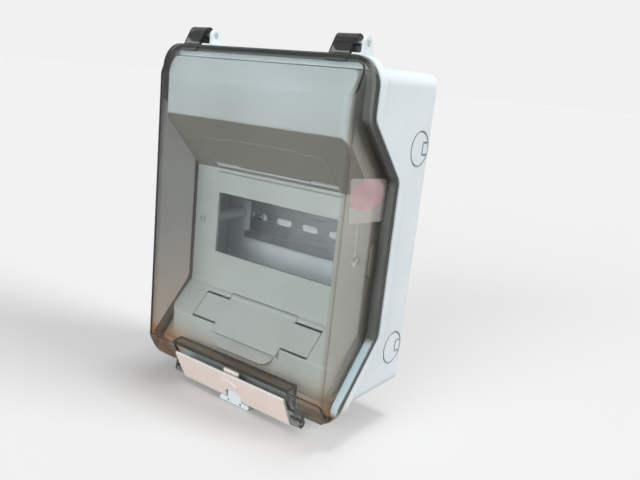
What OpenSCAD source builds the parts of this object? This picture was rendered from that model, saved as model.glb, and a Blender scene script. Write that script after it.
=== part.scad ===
// Hinged enclosure for rail-mounted devices: back box, seal, inner panel with two flaps,
// clear cover on two top hinges, and a bottom latch.
// X runs to the right, Y into the wall (the wall face is Y = 0 and the front is negative), Z up.
// Depths are counted from the wall face and heights from the underside of the back box.
// The origin is on the wall face, halfway between the wall fixing holes.

/* [Back box] */
// Width over the side walls
box_w = 174; // [165:1:190]
// Height over the top and bottom walls
box_h = 218; // [212:1:235]
// Thickness of the side, top and bottom walls
box_wall = 2.5; // [2:0.1:3]
// Thickness of the back
back_t = 3; // [2.5:0.1:4]
// Corner radius seen from the front
box_corner_r = 9; // [6:0.5:12]
// Radius of the edges next to the wall
rear_edge_r = 2.5; // [2:0.5:6]

/* [Mouth of the back box] */
// Depth of the lip at the top
lip_top_d = 74.5; // [72:0.5:78]
// Depth of the lip beside the device window
lip_mid_d = 37; // [33:0.5:40]
// Depth of the lip at the bottom
lip_low_d = 72.5; // [70:0.5:74.5]
// Height of the straight part of the lip at the top
lip_top_h = 30.5; // [26:0.5:34]
// Height of the sloping part of the lip below it
lip_top_slope_h = 37.5; // [34:0.5:42]
// Height of the straight part of the lip at the bottom
lip_low_h = 4.5; // [3:0.5:7]
// Height of the sloping part of the lip above it
lip_low_slope_h = 40; // [36:0.5:44]
// Radius of the bends in the lip
lip_bend_r = 8; // [5:1:10]
// How far the lip stands out past the side walls
flange_side = 1.5; // [1.5:0.1:2.5]
// How far the lip stands out past the top wall
flange_top = 6; // [5:0.5:6]
// How far the lip stands out past the bottom wall
flange_low = 10; // [8:0.5:11]
// Thickness of the lip's front plate
flange_t = 2.6; // [2:0.1:3.5]
// Depth of the skirt behind the lip
skirt_d = 7; // [6:0.5:8]
// Thickness of the skirt
skirt_t = 1.5; // [1.2:0.1:1.5]
// Corner radius of the lip seen from the front
flange_corner_r = 17; // [12:0.5:19]

/* [Cable knock-outs] */
// Diameter of the side knock-outs
side_ko_d = 24; // [20:0.5:26]
// Depth of the side knock-outs' centres
side_ko_at = 14; // [13:0.5:18]
// Height of the lower side knock-outs
side_ko_low_z = 31; // [25:1:38]
// Distance from the lower to the upper side knock-outs
side_ko_pitch = 139; // [130:1:145]
// Diameter of the outer knock-outs in the top and bottom walls
end_ko_d = 25; // [20:0.5:28]
// Diameter of the middle knock-outs in the top and bottom walls
mid_ko_d = 32; // [28:0.5:36]
// Pitch of the knock-outs in the top and bottom walls
end_ko_pitch = 46; // [42:1:50]
// Depth of the centres of those knock-outs
end_ko_at = 34; // [30:1:38]
// Width of the scored ring round a knock-out
ko_ring_w = 1.3; // [0.8:0.1:1.6]
// Depth of the scored ring
ko_ring_d = 1.2; // [0.6:0.1:1.4]

/* [Wall fixing] */
// Sideways pitch of the wall fixing holes
fix_dx = 130; // [120:1:136]
// Upright pitch of the wall fixing holes
fix_dz = 180; // [170:1:188]
// Diameter of the wall fixing holes
fix_hole_d = 5.5; // [4.5:0.1:6]
// Diameter of the boss round a fixing hole
fix_boss_d = 13; // [12:0.5:15]
// Height of the boss above the inside of the back
fix_boss_h = 3; // [2:0.5:5]
// Diameter of the recess for the screw head
fix_head_d = 10; // [9:0.5:11]

/* [Seal] */
// Width of the seal
seal_w = 3; // [2.4:0.1:3.4]
// Thickness of the seal when the cover is shut
seal_t = 1.6; // [1.2:0.1:2.2]
// Step from the outside of the lip to the seal
seal_inset = 1; // [0.8:0.1:1.4]
// Gap between the seal and the cover
seal_gap = 0.3; // [0.3:0.05:0.5]

/* [Cover] */
// Depth of the cover's front face
cover_d = 89.5; // [89:0.5:94]
// Thickness of the cover
cover_wall = 2; // [1.6:0.1:2.4]
// Thickness of the rim that lies on the seal
rim_t = 4; // [3:0.2:4.4]
// Width of the rim outside the cover's side walls
rim_ledge = 6.5; // [5.5:0.5:7]
// Step from the outside of the lip to the outside of the rim
rim_inset = 0.25; // [0.2:0.05:0.5]
// Height of the sloping band at the top of the front
cover_top_h = 20.3; // [16:0.5:24]
// Distance from the top of the box to the front end of that band
cover_top_drop = 17.3; // [14:0.5:20]
// Height above the box's underside where the front starts to slope back
cover_low_z = 8.4; // [6:0.2:10]
// How far the bottom of the front slopes back
cover_low_in = 10; // [8:0.5:10.5]
// Corner radius of the cover seen from the front
cover_corner_r = 8; // [5:0.5:10]
// Radius of the upright edges at the front
cover_edge_r = 2.5; // [2:0.5:6]
// Radius of the bend below the sloping band
cover_bend_r = 6; // [3:0.5:8]
// Radius of the bends at the bottom of the front
cover_low_r = 3; // [2.5:0.5:4]

/* [Top hinges] */
// Distance of the hinges from the sides of the box
hinge_in = 26; // [25:0.5:34]
// Offset of both straps towards the left, away from their ears
hinge_shift = 1; // [0:0.5:2]
// Depth of the hinge axis
hinge_at = 69.5; // [69:0.5:71]
// Height of the hinge axis above the top of the lip
hinge_up = 6.5; // [6.4:0.1:8]
// Width of a hinge strap
strap_w = 14.4; // [12:0.2:16]
// Radius of the rolled top of the strap
strap_r = 5.4; // [5:0.1:5.6]
// Thickness of the strap's leg
strap_t = 2.4; // [2:0.1:2.6]
// Diameter of the hinge pin
hinge_pin_d = 4; // [3.4:0.1:4.2]
// Stub of the pin past the strap
pin_stub = 2.5; // [1.5:0.5:3]
// Thickness of the ear that holds the pin
ear_t = 2.2; // [2:0.1:3]
// Gap between the strap and the ear
ear_gap = 4.3; // [1:0.1:5]
// Radius of the ear round the pin
ear_r = 4; // [3.6:0.1:4.6]
// Height of the ear's foot above the lip
ear_foot_h = 3.5; // [2:0.5:4]
// Running clearance round a pin, on the radius
run_gap = 0.05; // [0.03:0.01:0.08]
// Clearance where a pin or insert is held tight, on the radius
held_gap = 0.02; // [0.01:0.01:0.03]

/* [Inner panel] */
// Thickness of the panel, front to back
panel_t = 2.4; // [2:0.1:2.6]
// Depth of the panel beside the device window
panel_mid_d = 49.5; // [48:0.5:52]
// Depth of the panel's bottom step
panel_low_d = 70.5; // [68:0.5:72]
// Gap between the panel's top step and the cover
panel_front_gap = 0.9; // [0.6:0.1:1.2]
// Gap between the panel's sides and the cover's sides
panel_side_gap = 2.75; // [2.4:0.05:4]
// Gap between the panel and the box's top and bottom walls
panel_end_gap = 0.5; // [0.4:0.1:1]
// Height of the panel's top step
panel_top_h = 38.5; // [36:0.5:42]
// Height of the upper slope
panel_high_slope_h = 38.5; // [38:0.5:42]
// Height of the panel's bottom step
panel_low_h = 23; // [20:0.5:26]
// Height of the lower slope
panel_low_slope_h = 21; // [20.5:0.5:24]
// Step from the box's lip back to the panel's edge flange
panel_lip_gap = 1; // [0.6:0.1:2]
// Corner radius of the panel seen from the front
panel_corner_r = 5; // [3:0.5:7]
// Radius of the panel's folds
panel_bend_r = 3; // [2:0.5:4]
// Width of the device window
window_w = 108; // [105:1:110]
// Height of the device window
window_h = 46; // [45.5:0.5:47]
// Height of the window's centre above the middle of the panel's flat part
window_up = 4.5; // [2:0.5:8]
// Distance of the marking groove below the upper fold
groove_down = 3; // [2.5:0.5:8]
// Length of the marking groove
groove_w = 110; // [90:1:120]
// Height and depth of the marking groove
groove_size = 1; // [0.6:0.1:1.2]
// Distance of the panel screws from the panel's sides
panel_screw_in = 7.3; // [7:0.1:9]
// Diameter of the panel screws' heads
panel_screw_head_d = 6; // [5.6:0.2:7]
// Height of the panel screws' heads
panel_screw_head_h = 1.2; // [1:0.1:2]
// Diameter of the panel screws
panel_screw_d = 4; // [3:0.5:4]
// Diameter of the posts that the panel stands on
post_d = 8.6; // [8:0.1:9]
// Diameter of the threaded inserts in the posts
insert_d = 6; // [5.2:0.1:6.2]
// Length of the threaded inserts
insert_h = 8; // [6:1:10]
// Depth of the screw hole behind the inserts
insert_clear = 6; // [4:1:10]

/* [Flaps] */
// Width of a flap
flap_w = 108; // [104:1:112]
// Thickness of a flap
flap_t = 1.6; // [1.4:0.1:1.8]
// Width of a flap's middle between its hinge bars
flap_mid_w = 61.6; // [56:0.2:66]
// Distance from the fold to the flap's hinge axis
flap_axis_s = 3.6; // [3.4:0.1:4.2]
// Depth of the flap's hinge axis under the surface
flap_axis_in = 1.2; // [1.1:0.1:1.4]
// Radius of the hinge bars
flap_bar_r = 2; // [1.9:0.1:2.2]
// Diameter of the flap's pivots
flap_pivot_d = 2.2; // [1.8:0.1:2.4]
// Length of the flap's pivots
flap_pivot_l = 7; // [5:0.5:9]
// Slot between the hinge bars and the flap
flap_slot = 1.8; // [1.4:0.1:2.2]
// Gap round the flap
flap_gap = 0.5; // [0.4:0.05:0.8]
// Distance from the fold to the far edge of the upper flap's corners
high_flap_s = 32.4; // [30:0.2:34]
// How much further the upper flap's middle reaches
high_flap_step = 1.9; // [1:0.1:3]
// Distance from the fold to the far edge of the lower flap's corners
low_flap_s = 27.4; // [26:0.2:27.6]
// How much further the lower flap's middle reaches
low_flap_step = 7.6; // [6:0.2:8.4]
// Slot below the lower flap's corners
corner_slot = 1.6; // [1:0.1:2]
// Overlap of the flap on the frame behind it
flap_seat = 3; // [2:0.5:4]
// Thickness of the frame behind the flap
flap_frame_t = 1.5; // [1.2:0.1:2]
// Width of the finger ledge under the lower flap
ledge_w = 54; // [44:1:60]
// How far the finger ledge stands out
ledge_out = 11; // [8:0.5:11.5]
// Distance of the finger ledge behind the slope
ledge_drop = 4.8; // [4.4:0.1:6]
// Thickness of the finger ledge
ledge_t = 2; // [1.6:0.1:2.4]
// Corner radius of the finger ledge
ledge_r = 9; // [6:0.5:10]

/* [Device rail] */
// Length of the rail
rail_l = 120; // [112:1:122]
// Width of the rail
rail_w = 35; // [35:0.1:35.2]
// Width of the rail's hat
rail_hat_w = 27; // [26.8:0.1:27.2]
// Depth of the rail
rail_h = 7.5; // [7.3:0.1:7.7]
// Thickness of the rail's steel
rail_t = 1; // [0.9:0.1:1.1]
// Pitch of the slots in the rail
rail_slot_pitch = 25; // [22:1:26]
// Length of a slot in the rail
rail_slot_l = 15; // [12:0.5:16]
// Width of a slot in the rail
rail_slot_w = 5.2; // [4.6:0.2:5.6]
// Diameter of the rail's screws
rail_screw_d = 4; // [3.5:0.1:4.2]
// Diameter of the heads of the rail's screws
rail_head_d = 8; // [7:0.5:8.5]

/* [Terminal bars] */
// Length of a terminal bar
bar_l = 78; // [70:1:84]
// Width of a terminal bar, up and down
bar_w = 8; // [7.5:0.1:9]
// Thickness of a terminal bar
bar_t = 6.5; // [6:0.1:8]
// Number of terminals on a bar
bar_ways = 8; // [6:1:8]
// Pitch of the terminals
bar_pitch = 8.5; // [8:0.1:8.6]
// Diameter of the wire holes
wire_d = 4.2; // [3.6:0.1:4.6]
// Diameter of the terminal screws
clamp_screw_d = 3.5; // [3:0.1:4]
// Height of the terminal screws' heads
clamp_head_h = 1.8; // [1.4:0.1:2.2]
// Length of the terminal screws' shanks
clamp_shank_l = 2; // [1.6:0.1:2.6]
// Distance of the heads' undersides in front of the bar
clamp_up = 0.6; // [0.4:0.1:0.8]
// How much wider a terminal screw's head is than its shank
clamp_head_over = 1.6; // [1:0.1:2]
// Depth of the front face of a bar
bar_at = 26; // [24:0.5:32]
// Height of the lower bar's centre
low_bar_z = 31; // [28:0.5:34]
// Distance of the upper bar's centre above the lower one's
bar_rise = 133; // [128:0.5:136]
// Thickness of the bar holders
holder_t = 3; // [2.5:0.1:4]
// Length of the end towers of the bar holders
tower_l = 6; // [5:0.5:7]
// Diameter of the screws of the bar holders
holder_screw_d = 3; // [2.5:0.1:3.5]
// Length of the feet of the bar holders
foot_l = 9; // [8:0.5:10]

/* [Latch] */
// Width of the latch plate
latch_w = 103.2; // [100:0.2:105]
// Thickness of the latch plate
latch_t = 1.8; // [1.5:0.1:2.2]
// Height of the plate's top edge above the box's underside
latch_top_z = 1.4; // [0.5:0.1:2.5]
// Length of the latch plate up its slope
latch_l = 25.2; // [24:0.2:26.5]
// Lean of the latch plate from upright
latch_lean = 27.2; // [25:0.2:29]
// Distance of the latch pivot in front of the lip's bottom
pivot_at = 3.9; // [3.4:0.1:4.4]
// Distance of the latch pivot above the plate's lower edge
pivot_up = 3.4; // [3:0.1:4]
// Distance of the latch pivot behind the plate's front
pivot_in = 2.95; // [2.8:0.05:3.2]
// Diameter of the latch pins
latch_pin_d = 2.4; // [2:0.1:2.6]
// Radius of the latch plate's barrels
barrel_r = 2.5; // [2.3:0.1:2.8]
// Length of the latch plate's barrels
barrel_l = 7; // [5:0.5:9]
// Radius of the cover's knuckles
knuckle_r = 3.1; // [2.9:0.1:3.2]
// Length of the cover's knuckles
knuckle_l = 8.4; // [7:0.2:9]
// Gap between the plate and the knuckles
knuckle_gap = 0.45; // [0.3:0.05:0.7]
// Gap between the plate's ends and the sides of its pocket
pocket_gap = 1.7; // [1.4:0.1:2.2]
// Height of the pocket's ceiling above the plate's top edge
pocket_up = 6.6; // [6:0.2:7]
// Rise of the ceiling towards the back
pocket_rise = 1.2; // [0.6:0.1:1.8]
// Width of the catch tab behind the plate
tab_w = 13.8; // [12:0.2:16]
// Rise of the catch tab above the plate's top edge
tab_up = 2; // [0.5:0.1:2.5]
// Distance of the tab's foot down the plate
tab_down = 9; // [7:0.5:10]
// Width of the seal lug's foot
lug_foot_w = 28; // [26:0.5:30]
// Height of the seal lug's foot
lug_foot_h = 3.6; // [3.2:0.1:4]
// Width of the seal lug's neck
lug_neck_w = 13; // [12:0.5:14]
// Thickness of the seal lug
lug_t = 2.6; // [2:0.1:2.8]
// Pitch of the holes for the sealing wire
wire_hole_dx = 11.6; // [10:0.2:13]
// Diameter of the holes for the sealing wire
wire_hole_d = 1.6; // [1.2:0.1:2]
// Clearance between the seal lug and the latch plate
lug_gap = 0.5; // [0.4:0.05:0.8]
// Width of one catch hook
hook_w = 4; // [3:0.2:4.4]
// Length of a hook's root along the plate
hook_root = 4.5; // [3.5:0.1:5]
// Diameter of the thumb pad on the plate
thumb_d = 8; // [6:0.5:10]

/* [Hidden] */
$fn = 48;
// Reach of a cutting tool past the surfaces it opens
cut = 1;
// Length of a cutter that has to clear the whole part
far = 400;

// Places worked out from the sizes above
box_x = box_w / 2;
origin_z = box_h / 2;
lip_z = [box_h - lip_top_h, box_h - lip_top_h - lip_top_slope_h, lip_low_h + lip_low_slope_h, lip_low_h];
flange_x = box_x + flange_side;
flange_z = [-flange_low, box_h + flange_top];
rim_x = flange_x - rim_inset;
rim_z = [flange_z[0] + rim_inset, flange_z[1] - rim_inset];
rim_back = seal_t + seal_gap;
rim_front = rim_back + rim_t;
cover_x = rim_x - rim_ledge;
cover_top_z = [box_h - cover_top_drop, box_h - cover_top_drop + cover_top_h];
panel_x = cover_x - cover_wall - panel_side_gap;
panel_high_d = cover_d - cover_wall - panel_front_gap;
panel_z = [box_wall + panel_end_gap, box_h - box_wall - panel_end_gap];
// Chamfer below the cover's top edge: its angle, and its line moved inwards by a thickness
chamfer_angle = atan2(cover_top_h, cover_d - lip_top_d - rim_front);
function chamfer_y(z, inward) = -cover_d + (z - cover_top_z[0]) / tan(chamfer_angle) + inward / sin(chamfer_angle);
function chamfer_z(inward) = cover_top_z[0] + inward * (1 - 1 / sin(chamfer_angle)) * tan(chamfer_angle);
high_fold = [-panel_mid_d, panel_z[1] - panel_top_h - panel_high_slope_h];
high_edge = [-panel_high_d, panel_z[1] - panel_top_h];
low_fold = [-panel_mid_d, panel_z[0] + panel_low_h + panel_low_slope_h];
low_edge = [-panel_low_d, panel_z[0] + panel_low_h];
high_angle = atan2(high_edge[1] - high_fold[1], high_edge[0] - high_fold[0]);
low_angle = atan2(low_fold[1] - low_edge[1], low_fold[0] - low_edge[0]);
window_z = (high_fold[1] + low_fold[1]) / 2 + window_up;
panel_screw_x = panel_x - panel_screw_in;
hinge_axis = [-hinge_at, flange_z[1] + hinge_up];
function hinge_x(side) = side * (box_x - hinge_in) - hinge_shift;
rail_front = back_t + rail_h;
rail_screw_x = 2 * rail_slot_pitch;
// Pivot of the latch from the lip, and the plate's lower and top edges from the pivot
up_latch = [-sin(latch_lean), cos(latch_lean)];
latch_foot = [-(lip_low_d + pivot_at) + pivot_up * sin(latch_lean) - pivot_in * cos(latch_lean),
  latch_top_z - latch_l * cos(latch_lean)];
latch_top = latch_foot + latch_l * up_latch;
latch_axis = latch_foot + pivot_up * up_latch + pivot_in * [cos(latch_lean), sin(latch_lean)];
pocket_x = latch_w / 2 + pocket_gap;
pocket_z = latch_top_z + pocket_up;
pocket_back = lip_low_d + rim_front + cover_wall;
knuckle_x = latch_w / 2 + knuckle_gap;
lug_top_z = latch_axis[1] - norm(latch_axis - latch_foot) - lug_gap;
lug_front = latch_foot[0];

// Corner q of an outline between p and s, rounded to radius r
function unit(v) = v / norm(v);
function fillet(p, q, s, r, steps = 5) =
  r == 0 ? [q] :
  let (u = unit(p - q), v = unit(s - q), half = acos(u * v) / 2,
    c = q + unit(u + v) * r / sin(half),
    a = q + u * r / tan(half) - c, b = q + v * r / tan(half) - c,
    start = atan2(a[1], a[0]), full = atan2(b[1], b[0]) - start,
    turn = full > 180 ? full - 360 : full < -180 ? full + 360 : full)
  [for (i = [0 : steps]) c + r * [cos(start + turn * i / steps), sin(start + turn * i / steps)]];
function rounded(pts, radii) =
  let (n = len(pts))
  [for (i = [0 : n - 1]) each fillet(pts[(i + n - 1) % n], pts[i], pts[(i + 1) % n], radii[i])];

// Line of the lip in side view, from the top down, moved forward by out
function lip_line(out) = [
  [-(lip_top_d + out), flange_z[1] + cut], [-(lip_top_d + out), lip_z[0]],
  [-(lip_mid_d + out), lip_z[1]], [-(lip_mid_d + out), lip_z[2]],
  [-(lip_low_d + out), lip_z[3]], [-(lip_low_d + out), flange_z[0] - cut]];
lip_radii = [0, lip_bend_r, lip_bend_r, lip_bend_r, lip_bend_r, 0];
function reversed(v) = [for (i = [len(v) - 1 : -1 : 0]) v[i]];

// Line of the inner panel's front in side view, from the top down, moved back by step
function panel_line(step) = [
  [chamfer_y(panel_z[1], cover_d - panel_high_d + step), panel_z[1]],
  [-(panel_high_d - step), chamfer_z(cover_d - panel_high_d + step)], [-(panel_high_d - step), high_edge[1]],
  [-(panel_mid_d - step), high_fold[1]], [-(panel_mid_d - step), low_fold[1]],
  [-(panel_low_d - step), low_edge[1]], [-(panel_low_d - step), panel_z[0]]];
panel_radii = [0, panel_bend_r, panel_bend_r, 1, 1, panel_bend_r, 0];

// Carries a part drawn from the underside of the box to the origin
module place() {
  translate([0, 0, -origin_z]) children();
}

// Outline in side view, [y, z], drawn out to width w along X about x
module side_view(w, x = 0) {
  translate([x, 0, 0]) rotate([90, 0, 90]) linear_extrude(w, center = true) children();
}

// Outline in front view, [x, z], drawn out forward from depth d0 to depth d1
module front_view(d0, d1) {
  translate([0, -d0, 0]) rotate([90, 0, 0]) linear_extrude(d1 - d0) children();
}

// Rounded rectangle of half-width x between two heights
module plate_outline(x, z, r) {
  translate([-x + r, z[0]]) square([2 * (x - r), z[1] - z[0]]);
  translate([-x, z[0] + r]) square([2 * x, z[1] - z[0] - 2 * r]);
  for (cx = [-x + r, x - r], cz = [z[0] + r, z[1] - r]) translate([cx, cz]) circle(r);
}

// Solid that ends in a rounded rectangle, with the front edges of its upright sides rounded
module round_fronted(x, d, r) {
  translate([0, 0, -far / 2]) linear_extrude(2 * far)
    polygon(rounded([[-x, far], [-x, -d], [x, -d], [x, far]], [0, r, r, 0]));
}

// Strip that follows the lip, from out0 to out1 in front of it
module lip_band(out0, out1) {
  side_view(far)
    polygon(rounded(concat(lip_line(out1), reversed(lip_line(out0))), concat(lip_radii, lip_radii)));
}

// Screw along -Y with its head's underside at depth d
module screw(x, z, d, shank_d, shank_l, head_d, head_h) {
  translate([x, -d, z]) rotate([90, 0, 0]) difference() {
    union() {
      translate([0, 0, -shank_l]) cylinder(d = shank_d, h = shank_l);
      cylinder(d = head_d, h = head_h);
    }
    for (turn = [0, 90]) rotate(turn)
      translate([-head_d * 0.34, -0.35, head_h * 0.45]) cube([head_d * 0.68, 0.7, head_h]);
  }
}

/* Back box */

// Outline of the box in side view, closed off in front by the lip
module box_side(inset) {
  polygon(concat(
    rounded(lip_line(inset > 0 ? cut : 0), lip_radii),
    rounded([[-inset, flange_z[0] - cut], [-inset, flange_z[1] + cut]], [0, 0])));
}

// Block in the shape of the box's outside, with its rear edges rounded
module box_block() {
  intersection() {
    side_view(box_w) box_side(0);
    front_view(0, far) plate_outline(box_x, [0, box_h], box_corner_r);
    translate([0, 0, -far / 2]) linear_extrude(2 * far)
      polygon(rounded([[-box_x, -far], [-box_x, 0], [box_x, 0], [box_x, -far]],
        [0, rear_edge_r, rear_edge_r, 0]));
    side_view(box_w) polygon(rounded([[-far, 0], [0, 0], [0, box_h], [-far, box_h]],
      [0, rear_edge_r, rear_edge_r, 0]));
  }
}

// Lip plate with the skirt behind it
module flange() {
  difference() {
    intersection() {
      lip_band(-skirt_d, 0);
      front_view(0, far) plate_outline(flange_x, flange_z, flange_corner_r);
    }
    intersection() {
      lip_band(-skirt_d - cut, -flange_t);
      front_view(0, far) plate_outline(flange_x - skirt_t,
        [flange_z[0] + skirt_t, flange_z[1] - skirt_t], flange_corner_r - skirt_t);
    }
  }
}

// Scored ring with a pry tab, cut into a flat wall that faces +Z
module knock_out(d) {
  translate([0, 0, -ko_ring_d]) {
    difference() {
      cylinder(d = d, h = ko_ring_d + cut);
      translate([0, 0, -cut]) cylinder(d = d - 2 * ko_ring_w, h = ko_ring_d + 3 * cut);
    }
    translate([d / 4 - ko_ring_w, -ko_ring_w / 2 - d / 6, 0]) cube([d / 5, ko_ring_w, ko_ring_d + cut]);
    translate([d / 4 - ko_ring_w, -ko_ring_w / 2 + d / 6, 0]) cube([d / 5, ko_ring_w, ko_ring_d + cut]);
    translate([d / 4 - 2 * ko_ring_w, -ko_ring_w / 2 - d / 6, 0])
      cube([ko_ring_w, d / 3 + ko_ring_w, ko_ring_d + cut]);
  }
}

module knock_outs() {
  for (side = [-1, 1], z = [side_ko_low_z, side_ko_low_z + side_ko_pitch])
    translate([side * box_x, -side_ko_at, z]) rotate([0, side * 90, 0]) rotate(90) knock_out(side_ko_d);
  for (end = [0, 1], i = [-1 : 1])
    translate([i * end_ko_pitch, -end_ko_at, end * box_h]) rotate([end ? 0 : 180, 0, 0])
      knock_out(i == 0 ? mid_ko_d : end_ko_d);
}

// Ear at the right of a hinge strap, with a foot on the top wall
module hinge_ear(side) {
  top = box_h - cut / 2;
  side_view(ear_t, hinge_x(side) + strap_w / 2 + ear_gap + ear_t / 2) {
    translate(hinge_axis) circle(ear_r);
    polygon([hinge_axis + [-ear_r, 0], hinge_axis + [ear_r, 0], [-hinge_at + ear_r, flange_z[1] + ear_foot_h],
      [-hinge_at + 1.8 * ear_r, flange_z[1] + ear_foot_h - 2], [-hinge_at + 1.8 * ear_r, top], [-hinge_at - ear_r + 1, top],
      [-hinge_at - ear_r, flange_z[1]]]);
  }
}

// Lug under the lip that the latch hooks over and a sealing wire goes through
module seal_lug() {
  foot_z = lug_top_z - lug_foot_h;
  neck_z = latch_axis[1] + 2.2;
  arm_z = neck_z + lug_t;
  front_view(-lug_front - lug_t, -lug_front) difference() {
    union() {
      plate_outline(lug_foot_w / 2, [foot_z, lug_top_z], lug_foot_h / 2 - 0.1);
      plate_outline(lug_neck_w / 2, [foot_z + 0.5, arm_z], lug_t / 2);
    }
    for (side = [-1, 1]) translate([side * wire_hole_dx / 2, foot_z + lug_foot_h / 2]) circle(d = wire_hole_d);
  }
  side_view(lug_neck_w) polygon([[lug_front + lug_t / 2, neck_z], [lug_front + lug_t / 2, arm_z],
    [-lip_low_d, arm_z], [-lip_low_d, flange_z[0] + 0.5], [-lip_low_d + skirt_d - 0.5, flange_z[0] + 0.5],
    [-lip_low_d + skirt_d - 0.5, neck_z + 2], [-lip_low_d + skirt_d - 2.5, neck_z]]);
}

module back_box() {
  color("#e9ebf3") place() difference() {
    union() {
      difference() {
        union() {
          box_block();
          flange();
        }
        front_view(back_t, far) plate_outline(box_x - box_wall, [box_wall, box_h - box_wall],
          box_corner_r - box_wall);
        knock_outs();
      }
      for (x = [-fix_dx / 2, fix_dx / 2], z = [-fix_dz / 2, fix_dz / 2])
        translate([x, -back_t + cut / 2, origin_z + z]) rotate([90, 0, 0])
          cylinder(d = fix_boss_d, h = fix_boss_h + cut / 2);
      for (side = [-1, 1]) translate([side * panel_screw_x, -back_t + cut / 2, window_z])
        rotate([90, 0, 0]) cylinder(d = post_d, h = panel_mid_d - panel_t - back_t + cut / 2);
      for (side = [-1, 1]) hinge_ear(side);
      seal_lug();
    }
    for (x = [-fix_dx / 2, fix_dx / 2], z = [-fix_dz / 2, fix_dz / 2])
      translate([x, cut, origin_z + z]) rotate([90, 0, 0]) {
        cylinder(d = fix_hole_d, h = far / 2);
        translate([0, 0, cut + back_t]) cylinder(d = fix_head_d, h = far / 2);
      }
    for (side = [-1, 1]) translate([side * panel_screw_x, -(panel_mid_d - panel_t) - cut, window_z])
      rotate([-90, 0, 0]) {
        cylinder(r = insert_d / 2 + held_gap, h = insert_h + cut);
        cylinder(d = panel_screw_d + 0.4, h = insert_h + insert_clear + cut);
      }
    for (side = [-1, 1]) translate([hinge_x(side) + strap_w / 2, hinge_axis[0], hinge_axis[1]])
      rotate([0, 90, 0]) cylinder(r = hinge_pin_d / 2 + held_gap, h = ear_gap + ear_t + cut);
    for (side = [-1, 1]) pilot_hole(side * rail_screw_x, window_z, rail_screw_d);
    for (z = [low_bar_z, low_bar_z + bar_rise], side = [-1, 1])
      pilot_hole(side * holder_screw_x, z, holder_screw_d);
  }
}

// Blind hole in the inside of the back for a screw of diameter d
pilot_depth = 1.8;
module pilot_hole(x, z, d) {
  translate([x, -back_t - cut, z]) rotate([-90, 0, 0]) cylinder(r = d / 2 + held_gap, h = pilot_depth + cut);
}

module seal() {
  x = flange_x - seal_inset;
  z = [flange_z[0] + seal_inset, flange_z[1] - seal_inset];
  r = flange_corner_r - seal_inset;
  color("#b4bab6") place() intersection() {
    lip_band(0, seal_t);
    front_view(0, far) difference() {
      plate_outline(x, z, r);
      plate_outline(x - seal_w, [z[0] + seal_w, z[1] - seal_w], r - seal_w);
    }
  }
}

/* Cover */

// Front of the cover in side view; inset is the thickness left inside it
module cover_side(inset) {
  lean = [cover_low_in, cover_low_z - rim_z[0]];
  low_step = inset * norm(lean) / lean[1];
  top_z = cover_top_z[1] - inset;
  polygon(rounded([
    [chamfer_y(top_z, inset), top_z], [-(cover_d - inset), chamfer_z(inset)],
    [-(cover_d - inset), cover_low_z + inset * 0.1],
    [-(cover_d - cover_low_in - low_step), rim_z[0] + inset], [0, rim_z[0] + inset], [0, top_z]],
    [0, cover_bend_r - inset, cover_low_r, cover_low_r, 0, 0]));
}

module cover_body(inset, x, z, r) {
  intersection() {
    side_view(far) cover_side(inset);
    front_view(0, far) plate_outline(x, z, r);
    round_fronted(x, cover_d - inset, cover_edge_r - inset * 0.5);
  }
}

// Recess for the latch plate, as an outline in side view
module pocket_side(skin) {
  y = -pocket_back + skin;
  polygon([[-far, pocket_z + skin], [-cover_d, pocket_z + skin], [y, pocket_z + pocket_rise + skin],
    [y, -far], [-far, -far]]);
}

// Hinge strap: rolled top round the pin and a leg down to the rim
module strap(x) {
  root = [-(lip_top_d + rim_front + strap_t * 0.7), cover_top_z[1] - 1.5];
  reach = norm(root - hinge_axis);
  bearing = atan2(root[1] - hinge_axis[1], root[0] - hinge_axis[0]) - acos(strap_r / reach);
  tangent = [cos(bearing), sin(bearing)];
  difference() {
    side_view(strap_w, x) {
      translate(hinge_axis) circle(strap_r);
      polygon([root, hinge_axis + strap_r * tangent, hinge_axis + (strap_r - strap_t) * tangent,
        root - strap_t * tangent]);
      polygon([for (tip = [[0.37, -0.81], [0.91, -0.57], [0.93, -0.19], [0, 0]]) hinge_axis + tip * strap_r]);
    }
    translate([x - strap_w, hinge_axis[0], hinge_axis[1]]) rotate([0, 90, 0])
      cylinder(r = hinge_pin_d / 2 + run_gap, h = 2 * strap_w);
  }
}

// Knuckle under the rim that holds a latch pin
module knuckle(side) {
  x = side * (knuckle_x + knuckle_l / 2);
  side_view(knuckle_l, x) {
    translate(latch_axis) circle(knuckle_r);
    polygon([latch_axis + [-knuckle_r * 0.9, 0], latch_axis + [knuckle_r * 0.5, 0],
      [-(lip_low_d + rim_back + 0.3), rim_z[0] + 1], [-(lip_low_d + rim_front), rim_z[0] + 1]]);
  }
}

module cover() {
  shell_x = cover_x - cover_wall;
  color("#5c6663", 0.55) place() difference() {
    union() {
      difference() {
        union() {
          cover_body(0, cover_x, [rim_z[0], cover_top_z[1]], cover_corner_r);
          intersection() {
            lip_band(rim_back, rim_front);
            front_view(0, far) plate_outline(rim_x, rim_z, flange_corner_r - rim_inset);
          }
        }
        cover_body(cover_wall, shell_x, [rim_z[0] + cover_wall, cover_top_z[1] - cover_wall],
          cover_corner_r - cover_wall);
        behind_rim();
      }
      intersection() {
        side_view(2 * (pocket_x + cover_wall)) pocket_side(cover_wall);
        cover_body(0, cover_x, [rim_z[0], cover_top_z[1]], cover_corner_r);
      }
      for (side = [-1, 1]) strap(hinge_x(side));
      for (side = [-1, 1]) knuckle(side);
    }
    side_view(2 * pocket_x) pocket_side(0);
    for (side = [-1, 1]) translate([side * (knuckle_x - cut), latch_axis[0], latch_axis[1]])
      rotate([0, side * 90, 0]) cylinder(r = latch_pin_d / 2 + held_gap, h = cut + knuckle_l - 1);
  }
}

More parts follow.
